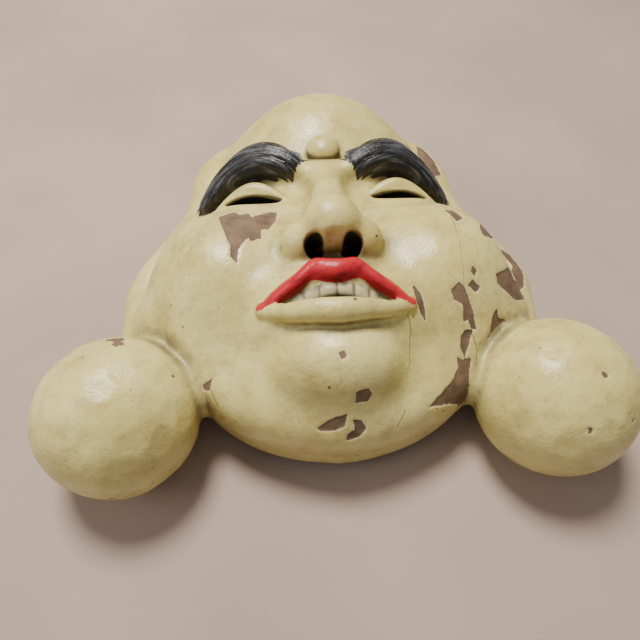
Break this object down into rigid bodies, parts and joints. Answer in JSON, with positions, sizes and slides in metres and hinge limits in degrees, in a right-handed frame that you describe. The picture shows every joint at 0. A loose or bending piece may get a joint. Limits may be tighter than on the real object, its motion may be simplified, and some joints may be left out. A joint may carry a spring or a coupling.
{
  "type": "noh mask",
  "caption": "Hollow carved wooden face mask with a bald crown, pierced eyes, nostrils and mouth, and long ears that end in ball-shaped lobes.",
  "frame": {"origin": "centre of the bounding box's base, under the middle of the face", "axes": "+X across the face, +Y from chin to crown, +Z out of the face; the mask lies on its back"},
  "size_m": [0.291, 0.285, 0.1037],
  "materials": {
    "painted_wood": "satin ivory paint, chipped to bare wood",
    "dowel_wood": "bare wood"
  },
  "bodies": {
    "root": {"face_center_block": "painted_wood", "cheek_block_left": "painted_wood", "cheek_block_right": "painted_wood", "lobe_left": "painted_wood", "lobe_right": "painted_wood", "urna_bead": "painted_wood", "seam_dowels": "dowel_wood", "lobe_dowels": "dowel_wood"}
  },
  "joints": []
}
